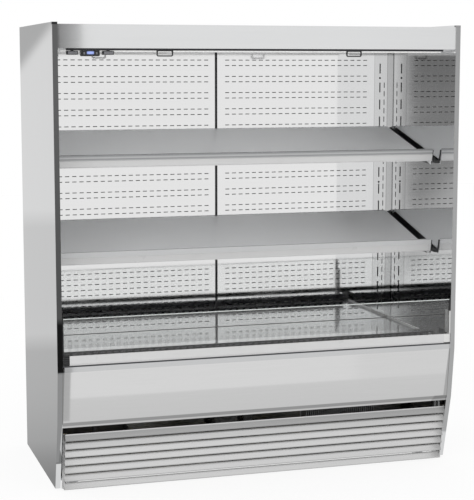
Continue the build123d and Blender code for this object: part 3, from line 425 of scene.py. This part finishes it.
def shelf_material():
    """Satin shelf sheet; its front lip is painted darker as shade, and the upper one carries two painted
    shadow lines.
    """
    lip_back_y = -0.2568
    middle_lip_z, upper_shelf_rise, between_shelves_z = 0.986, 0.415, 1.2
    made, tree, surface = material("shelf_steel")
    _, depth, height = tree.axes()
    fine = tree.grain("x")
    upper = tree.over(height, between_shelves_z)
    above = tree.minus(height, tree.plus(middle_lip_z, tree.times(upper, upper_shelf_rise)))
    # Painted shade: the lips are darker than the shelf, and the upper lip gets two dark lines as painted
    # shadow.
    lines = tree.greater(tree.band(above, 0.0165, 0.040, 0.001), tree.band(above, 0.0035, 0.0095, 0.001))
    plain = tree.mix(fine, (0.91, 0.915, 0.92), (0.95, 0.955, 0.96))
    painted_shadow_lines = tree.mix(lines, (0.47, 0.475, 0.48), (0.30, 0.305, 0.31))
    painted_shade_lip = tree.mix(upper, (0.60, 0.605, 0.61), painted_shadow_lines)
    tones = tree.mix(tree.under(depth, lip_back_y), plain, painted_shade_lip)
    dress(tree, surface, tones, tree.between(fine, 0.25, 0.75, 0.31, 0.41),
          tree.bump(fine, 0.03, SHEET_RELIEF), 0.35)
    return made


def deck_material():
    """Deck sheet with a pale front edge painted on as a highlight."""
    painted_highlight_back_y = -0.236
    made, tree, surface = material("deck_steel")
    # Painted highlight: a pale, matt, less metallic band along the front edge.
    painted_highlight = tree.under(tree.axes()[1], painted_highlight_back_y)
    plain = tree.mix(tree.grain("x"), (0.365, 0.37, 0.375), (0.385, 0.39, 0.395))
    gloss = tree.plus(tree.between(tree.smudges(), 0.35, 0.7, 0.10, 0.13), tree.times(painted_highlight, 0.25))
    dress(tree, surface, tree.mix(painted_highlight, plain, (0.80, 0.80, 0.81)), gloss,
          metal=tree.between(painted_highlight, 0.0, 1.0, 1.0, 0.4))
    return made


def upright_material():
    """Corner uprights: bright sheet with painted shadow lines at its bends and an outer strip painted darker
    as shade.
    """
    inner_line, outer_line = (0.8015, 0.8030), (0.8690, 0.8725)
    strip_starts, strip_full = 0.8715, 0.8725
    made, tree, surface = material("upright_steel")
    fine = tree.grain("z")
    outward = tree.maths("ABSOLUTE", tree.axes()[0])
    # Painted shade: the outer strip is darker, and dark lines at both bends stand in for their shadows.
    strip = tree.between(outward, strip_starts, strip_full)
    line = tree.greater(tree.band(outward, *outer_line), tree.band(outward, *inner_line))
    shade = tree.times(tree.between(strip, 0.0, 1.0, 1.0, 0.78), tree.between(line, 0.0, 1.0, 1.0, 0.55))
    tone = tree.times(shade, tree.stretch(fine, 0.65, 0.69))
    dress(tree, surface, tree.grey(tone), tree.stretch(fine, 0.04, 0.07), metal=1.0)
    return made


def fascia_material():
    """Bright front sheet, painted darker along the bend of its toe as shade."""
    bend_low_z, bend_high_z, bend_soft = 0.2905, 0.3065, 0.0015
    made, tree, surface = material("fascia_steel")
    fine = tree.grain("x")
    # Painted shade along the toe's bend.
    painted_bend_shade = tree.band(tree.axes()[2], bend_low_z, bend_high_z, bend_soft)
    tone = tree.times(tree.between(painted_bend_shade, 0.0, 1.0, 1.0, 0.57), tree.stretch(fine, 0.70, 0.725))
    dress(tree, surface, tree.grey(tone), tree.between(fine, 0.25, 0.75, 0.04, 0.06), metal=1.0)
    return made


# Height and brightness of the louvre's blades, as painted shade: the upper blades are darker, and the dull
# run is the shaded flank of the top blade.
LOUVRE_PAINTED_SHADE = [
    (0.0, 0.86), (0.12, 0.90), (0.18, 0.90), (0.20, 0.80), (0.222, 0.82), (0.2285, 0.56), (0.250, 0.48),
    (0.253, 0.88), (0.30, 0.88),
]


def louvre_material():
    """Satin blades, painted darker towards the top as shade, most on the top one."""
    made, tree, surface = material("louvre_steel")
    fine = tree.grain("x")
    bands = tree.noise(BANDS["x"], 2.0)
    tone = tree.times(tree.ramp(tree.axes()[2], LOUVRE_PAINTED_SHADE), tree.stretch(fine, 0.69, 0.74))
    dress(tree, surface, tree.grey(tone), tree.stretch(bands, 0.20, 0.28),
          tree.bump(fine, 0.04, SHEET_RELIEF), 1.0)
    return made


def fins_material():
    """Stacked aluminium fins, with painted shade in the gaps between them."""
    fin_pitch = 0.0025
    made, tree, surface = material("coil_fins")
    # Painted shade: a wave at the fin pitch darkens the gaps between the fins.
    edge = tree.wave(tree.axes()[0], fin_pitch)
    clouds = tree.even_noise(20.0, 4.0)
    tone = tree.times(tree.between(edge, -1.0, 1.0, 0.2, 1.0), tree.between(clouds, 0.2, 0.8, 0.8, 1.0))
    dress(tree, surface, tree.mix(tone, (0.10, 0.10, 0.11), (0.78, 0.79, 0.80)),
          tree.stretch(clouds, 0.28, 0.42), tree.bump(edge, 0.8, 0.0008), 1.0)
    return made


OUTER_STEEL = (0.71, 0.715, 0.72)
outer_upright = steel("outer_steel_upright", OUTER_STEEL, 0.025, "z", contrast=0.02, spread=0.005,
                      smudge=0.005, depth=0.0)
outer_level = steel("outer_steel_level", OUTER_STEEL, 0.15, "x", contrast=0.025, depth=0.05)
liner = steel("liner_steel", (0.86, 0.865, 0.87), 0.022, "z", contrast=0.015, spread=0.01, smudge=0.01,
              depth=0.01)
back = steel("back_steel", (0.77, 0.77, 0.77), 0.05, "x", contrast=0.015, spread=0.015, smudge=0.02,
             depth=0.004)
anodised = steel("black_anodised", (0.055, 0.055, 0.06), 0.34, "x", contrast=0.10)
tube_metal = steel("tube_aluminium", (0.78, 0.78, 0.79), 0.28, "x", contrast=0.03)
copper = steel("drawn_copper", (0.80, 0.47, 0.31), 0.26, "x", contrast=0.08, smudge=0.12)
plated = zinc("zinc_sheet", (0.56, 0.57, 0.58), 0.36)
frame_zinc = zinc("zinc_frame", (0.50, 0.51, 0.52), 0.42, 80.0)
screw_metal = zinc("zinc_screw", (0.62, 0.62, 0.63), 0.30, 500.0)
inner_coat = coat("white_inner_coat", (0.89, 0.89, 0.885), 0.38, 1300.0, 0.08, 0.01)
pale_sheet = coat("pale_powder_coat", (0.86, 0.865, 0.87), 0.34, 1300.0, 0.10, 0.015)
dark_sheet = coat("dark_powder_coat", (0.034, 0.034, 0.037), 0.34, 1300.0, 0.14, 0.15)
black_plastic = coat("black_moulding", (0.020, 0.020, 0.022), 0.40, 1500.0, 0.12, 0.15)
pale_plastic = coat("pale_extrusion", (0.62, 0.62, 0.62), 0.30, 900.0, 0.03, 0.015)
# Painted light: the pale extrusion brightened for the strips behind the glass, which holds back their light.
brightened_pale_plastic = coat("pale_extrusion_painted_light", (0.90, 0.90, 0.90), 0.30, 900.0, 0.03, 0.015)
grey_plastic = coat("grey_moulding", (0.22, 0.22, 0.235), 0.42, 1500.0, 0.10, 0.06)
fan_plastic = coat("fan_moulding", (0.045, 0.045, 0.05), 0.38, 1200.0, 0.10, 0.10)
enamel = coat("black_enamel", (0.018, 0.018, 0.019), 0.22, 260.0, 0.10, 0.10, clear=0.5)
rubber = coat("edge_rubber", (0.022, 0.022, 0.022), 0.62, 600.0, 0.18, 0.2)
cap_ends = sided_moulding(
    "bumper_end_moulding", 700.0, left_tones=((0.012, 0.012, 0.013), (0.03, 0.03, 0.032)),
    right_tones=((0.68, 0.68, 0.67), (0.74, 0.74, 0.73)), gloss=(0.36, 0.46), rib_pitch=0.009)
end_plates = sided_moulding(
    "glass_end_moulding", 500.0, left_tones=((0.010, 0.010, 0.011), (0.022, 0.022, 0.024)),
    right_tones=((0.60, 0.60, 0.595), (0.64, 0.64, 0.635)), gloss=(0.34, 0.44), depth=0.06)
corners = sided_moulding(
    "corner_moulding", 900.0, left_tones=((0.016, 0.016, 0.018), (0.024, 0.024, 0.026)),
    right_tones=((0.27, 0.27, 0.275), (0.31, 0.31, 0.315)), gloss=(0.36, 0.46))
foam = foam_material()
weave = cloth_material()
pane = glass_material()
window = display_material()
lamp_cover = lamp_material()
grille = grille_material()
sill = sill_material()
shelf = shelf_material()
deck = deck_material()
upright = upright_material()
fascia = fascia_material()
louvre = louvre_material()
fins = fins_material()

FINISH = {
    "end_skins": outer_upright, "canopy_fascia": outer_level, "front_fascia": fascia,
    "end_liners": liner, "foam_insulation": foam, "edge_caps": corners,
    "body_liner": inner_coat, "rear_and_roof_skins": plated, "cassette_and_ceiling": pale_sheet,
    "air_outlet_grid": pale_plastic, "led_lamp": lamp_cover, "blind_roller": tube_metal,
    "blind_roll": weave, "blind_fabric": weave, "blind_bar": anodised, "blind_handles": black_plastic,
    "controller_housing": black_plastic, "controller_display": window, "key_down": grey_plastic,
    "key_up": grey_plastic, "switch_bezels": black_plastic, "lamp_rocker": grey_plastic,
    "fan_rocker": grey_plastic, "back_panel_left": back, "back_panel_right": back,
    "end_uprights": upright, "centre_upright": dark_sheet, "shelf_top": shelf, "shelf_middle": shelf,
    "ticket_strip_top": pale_plastic, "ticket_strip_middle": pale_plastic,
    "shelf_brackets_top": dark_sheet, "shelf_brackets_middle": dark_sheet, "deck": deck,
    "deck_side_strips": brightened_pale_plastic, "sill_and_return_cover": sill, "return_grille": grille,
    "glass_riser": pane, "glass_end_plates": end_plates, "glass_buffers": rubber,
    "bumper": pale_plastic, "bumper_caps": cap_ends, "louvre_grille": louvre, "fan_wall": plated,
    "evaporator_fan_left": fan_plastic, "evaporator_fan_right": fan_plastic,
    "condenser_fan": fan_plastic, "fan_motors": enamel, "evaporator_and_condenser": fins,
    "compressor": enamel, "refrigerant_pipes": copper, "drain_tray_and_pipe": grey_plastic,
    "mains_box_and_gland": grey_plastic, "service_panel": plated, "service_screws": screw_metal,
    "base_frame": frame_zinc, "foot_front_left": screw_metal, "foot_rear_left": screw_metal,
    "foot_front_right": screw_metal, "foot_rear_right": screw_metal,
}
for name, obj in nodes.items():
    finish = FINISH[name]
    if not obj.material_slots:
        obj.data.materials.append(finish)
    for slot in obj.material_slots:
        slot.material = finish


# ---------------------------------------------------------------------------------------------------
# Blind: the cloth on the roller, and the stretch that hangs between it and the bar
# ---------------------------------------------------------------------------------------------------

def piece(name, points, faces, finish):
    mesh = bpy.data.meshes.new(name)
    mesh.from_pydata(points, [], faces)
    mesh.update()
    mesh.materials.append(finish)
    for face in mesh.polygons:
        face.use_smooth = True
    obj = bpy.data.objects.new(name, mesh)
    scene.collection.objects.link(obj)
    return obj


def grid_faces(rows, columns):
    return [
        (r * columns + c, r * columns + c + 1, (r + 1) * columns + c + 1, (r + 1) * columns + c)
        for r in range(rows - 1)
        for c in range(columns - 1)
    ]


ROWS, COLUMNS = 25, 121
RIPPLE = 0.00025

fabric_low, fabric_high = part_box("blind_fabric")
fabric_y = (fabric_low.y + fabric_high.y) / 2
half_width = fabric_high.x
drop = fabric_high.z - fabric_low.z
points = []
for r in range(ROWS):
    down = r / (ROWS - 1)
    slack = math.sin(math.pi * down) ** 2
    for c in range(COLUMNS):
        across = 2 * c / (COLUMNS - 1) - 1
        ripple = RIPPLE * slack * math.sin(5.3 * across + 0.6) * math.cos(2.1 * across)
        points.append((half_width * across, fabric_y + ripple, fabric_high.z - drop * down))
hanging = piece("blind_cloth", points, grid_faces(ROWS, COLUMNS), weave)
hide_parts("blind_fabric")
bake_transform(hanging)

TURNS = 14
PER_TURN = 48
SECTIONS = 9
STEPS = TURNS * PER_TURN
# The first turn lies just off the tube and the last one just inside the roll of the CAD.
FIRST_RADIUS = 0.0203
INSIDE_ROLL = 0.0002

roll_low, roll_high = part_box("blind_roll")
axis_y, axis_z = (roll_low.y + roll_high.y) / 2, (roll_low.z + roll_high.z) / 2
growth = (roll_high.z - roll_low.z) / 2 - INSIDE_ROLL - FIRST_RADIUS
points = []
for s in range(STEPS + 1):
    radius = FIRST_RADIUS + growth * s / STEPS
    angle = 2 * math.pi * (s / PER_TURN) + math.pi
    y, z = axis_y + radius * math.cos(angle), axis_z + radius * math.sin(angle)
    for c in range(SECTIONS):
        across = 2 * c / (SECTIONS - 1) - 1
        points.append((roll_high.x * across, y, z))
wound = piece("blind_winding", points, grid_faces(STEPS + 1, SECTIONS), weave)
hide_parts("blind_roll")
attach(wound, "blind_roller_tube")


# ---------------------------------------------------------------------------------------------------
# Floor
# ---------------------------------------------------------------------------------------------------

def bare_tree(name):
    made = bpy.data.materials.new(name)
    made.use_nodes = True
    return made, Tree(made.node_tree)


FLOOR_HALF = 14
FADE_FROM, FADE_TO = 2.2, 6.0
# How much of what the camera sees of the floor is backdrop white; the rest keeps the shadow.
FLOOR_LIFT = 0.86

floor = piece("floor", [(-FLOOR_HALF, -FLOOR_HALF, 0), (FLOOR_HALF, -FLOOR_HALF, 0),
                        (FLOOR_HALF, FLOOR_HALF, 0), (-FLOOR_HALF, FLOOR_HALF, 0)], [(0, 1, 2, 3)], None)
floor_paint, tree = bare_tree("floor_paint")
out = tree.node("ShaderNodeOutputMaterial")
where = tree.node("ShaderNodeTexCoord").outputs["Object"]
distance = tree.node("ShaderNodeVectorMath", (0, where), operation="LENGTH").outputs["Value"]
paint = tree.node("ShaderNodeBsdfDiffuse")
paint.inputs["Color"].default_value = (0.98, 0.98, 0.98, 1.0)
clear = tree.node("ShaderNodeBsdfTransparent")
faded = tree.mix_shader(tree.between(distance, FADE_FROM, FADE_TO, smooth=True), paint, clear)
white = tree.node("ShaderNodeEmission", in_Strength=1.0)
lift = tree.times(tree.node("ShaderNodeLightPath").outputs["Is Camera Ray"], FLOOR_LIFT)
tree.link(tree.mix_shader(lift, faded, white).outputs[0], out.inputs["Surface"])
floor.data.materials[0] = floor_paint
floor.visible_glossy = False

# ---------------------------------------------------------------------------------------------------
# Studio: white for the camera and for plain light, and a room of greys for mirror rays
# ---------------------------------------------------------------------------------------------------

# Pairs of degrees and brightness. The first runs across a slanting edge, the others over elevation.
FAR_LEFT_TONES = [
    (-40.0, 0.75), (-8.0, 0.86), (-2.6, 0.80), (-1.6, 0.57), (-0.4, 0.50), (0.5, 0.31), (1.0, 0.275),
    (3.5, 0.235), (4.7, 0.20), (7.0, 0.20), (10.0, 0.09), (18.0, 0.09), (30.0, 0.60),
]
AHEAD_TONES = [(-90.0, 0.86), (-30.0, 0.92), (-15.0, 0.90), (-9.4, 0.88), (-7.6, 1.0), (90.0, 1.0)]
BEHIND_TONES = [
    (-90.0, 0.26), (-16.0, 0.28), (-15.6, 0.32), (-15.2, 0.375), (-14.8, 0.425), (-14.1, 0.455),
    (-13.3, 0.487), (-12.5, 0.505), (-10.75, 0.525), (-10.65, 0.672), (-6.3, 0.672), (-5.9, 0.80),
    (0.0, 0.80), (90.0, 0.80),
]
DEGREES = 180 / math.pi

world = bpy.data.worlds.new("studio")
scene.world = world
world.use_nodes = True
tree = Tree(world.node_tree)
out = tree.node("ShaderNodeOutputWorld")
x, y, z = tree.axes("Generated")
# Elevation, and azimuth from straight in front of the cabinet, positive to its right.
rise = tree.times(tree.maths("ARCSINE", z), DEGREES)
turn = tree.times(tree.maths("ARCTAN2", x, tree.times(y, -1.0)), DEGREES)
aside = tree.maths("ABSOLUTE", turn)
# Far left in front: dim above a slanting edge, brighter below it.
slant = tree.plus(tree.plus(rise, 5.2), tree.times(tree.plus(turn, 25.0), 1.15))
far_left = tree.ramp(slant, FAR_LEFT_TONES)
# The rest in front: white, with a shallow dip just above the floor and a slightly dimmer right edge.
ahead = tree.times(tree.ramp(rise, AHEAD_TONES), tree.between(turn, 23.4, 23.9, 1.0, 0.94, smooth=True))
in_front = tree.mix(tree.between(turn, -24.1, -23.45, smooth=True), far_left, ahead)
# Behind: steps down towards the floor, and a darker field above a slanting edge.
slope = tree.minus(rise, tree.times(tree.minus(171.3, aside), 1.3))
behind = tree.times(tree.ramp(rise, BEHIND_TONES), tree.between(slope, -0.3, 0.45, 1.0, 0.60, smooth=True))
level = tree.mix(tree.between(aside, 100.0, 130.0, smooth=True), in_front, behind)
mirrored = tree.node("ShaderNodeBackground")
tree.link(level, mirrored.inputs["Color"])
seen = tree.node("ShaderNodeBackground", in_Strength=1.0, in_Color=WHITE)
soft = tree.node("ShaderNodeBackground", in_Strength=1.0, in_Color=WHITE)
# The camera's own rays, and those that leave the glass without having been mirrored.
rays = tree.node("ShaderNodeLightPath").outputs
through = tree.times(rays["Is Transmission Ray"], tree.under(rays["Glossy Depth"], 0.5))
direct = tree.greater(rays["Is Camera Ray"], through)
light = tree.mix_shader(rays["Is Glossy Ray"], soft, mirrored)
tree.link(tree.mix_shader(direct, light, seen).outputs[0], out.inputs["Surface"])


# ---------------------------------------------------------------------------------------------------
# Studio flags that only glossy surfaces see
# ---------------------------------------------------------------------------------------------------

def card(name, outline, tone):
    obj = piece(name, outline, [(0, 1, 2, 3)], None)
    made, tree = bare_tree(name)
    out = tree.node("ShaderNodeOutputMaterial")
    glow = tree.node("ShaderNodeEmission")
    tree.link(tone(tree, tree.axes()), glow.inputs["Color"])
    tree.link(glow.outputs[0], out.inputs["Surface"])
    obj.data.materials[0] = made
    obj.visible_camera = False
    obj.visible_diffuse = False
    obj.visible_transmission = False
    obj.visible_shadow = False
    obj.visible_volume_scatter = False


def fade(axis, low, high, to_low, to_high):
    """Tone that changes along one axis of the cabinet's frame: 0 is X, 1 is Y, 2 is Z."""
    return lambda tree, axes: tree.between(axes[axis], low, high, to_low, to_high)


def edge_tone(tree, axes):
    """Nearly black, blacker in a band at sill height, grey below it."""
    height = axes[2]
    upper = tree.times(tree.between(height, 0.72, 0.75), tree.between(height, 0.8, 1.7, 0.095, 0.15))
    lower = tree.between(height, 0.49, 0.52, 0.36, 0.012)
    return tree.plus(upper, lower)


def upright_card(name, x0, x1, y, z0, z1, tone):
    card(name, [(x0, y, z0), (x1, y, z0), (x1, y, z1), (x0, y, z1)], tone)


def floor_card(name, x0, x1, tone):
    far, near, level = SHINE_FAR_Y, SHINE_NEAR_Y, 0.0005
    card(name, [(x0, far, level), (x1, far, level), (x1, near, level), (x0, near, level)], tone)


RIM_Y, EDGE_Y = FRONT_Y - 0.6, FRONT_Y - 0.06
RIM_LEFT, RIM_FADE_FROM = -1.3, -0.80
RIM_RIGHT, LOW_RIM_RIGHT = -0.673, -0.735
CARD_TOP = 2.3
SHINE_FAR_Y, SHINE_NEAR_Y = -1.27, FRONT_Y - 0.05
SHINE_LEFT, SHINE_SPLIT, SHINE_RIGHT = -0.905, -0.85, 3.0

upright_card("rim", RIM_LEFT, RIM_RIGHT, RIM_Y, 1.7, CARD_TOP, fade(0, RIM_FADE_FROM, RIM_RIGHT, 0.20, 0.64))
upright_card("low_rim", RIM_LEFT, LOW_RIM_RIGHT, RIM_Y, 0.0, 0.7,
             fade(0, RIM_FADE_FROM, LOW_RIM_RIGHT, 0.53, 0.56))
upright_card("edge", -0.955, -0.869, EDGE_Y, 0.0, CARD_TOP, edge_tone)
upright_card("far_edge", 0.915, 1.0, EDGE_Y, 0.0, CARD_TOP, fade(2, 1.0, 1.75, 0.52, 0.46))
floor_card("near_floor", SHINE_SPLIT, SHINE_RIGHT, fade(1, SHINE_FAR_Y, FRONT_Y, 0.79, 0.70))
floor_card("left_floor", SHINE_LEFT, SHINE_SPLIT, fade(1, SHINE_FAR_Y, FRONT_Y, 0.34, 0.26))

# ---------------------------------------------------------------------------------------------------
# Lamp
# ---------------------------------------------------------------------------------------------------

key = bpy.data.objects.new("key", bpy.data.lights.new("key", "AREA"))
scene.collection.objects.link(key)
key.data.shape = "RECTANGLE"
key.data.size = 3.0
key.data.size_y = 2.4
key.data.energy = 20.0
key.location = (-2.6, -3.6, 3.6)
aimed_at = Vector((0, 0, 0.9))
key.rotation_mode = "QUATERNION"
key.rotation_quaternion = (aimed_at - key.location).to_track_quat("-Z", "Y")
key.visible_glossy = False

scene.view_settings.view_transform = "Standard"
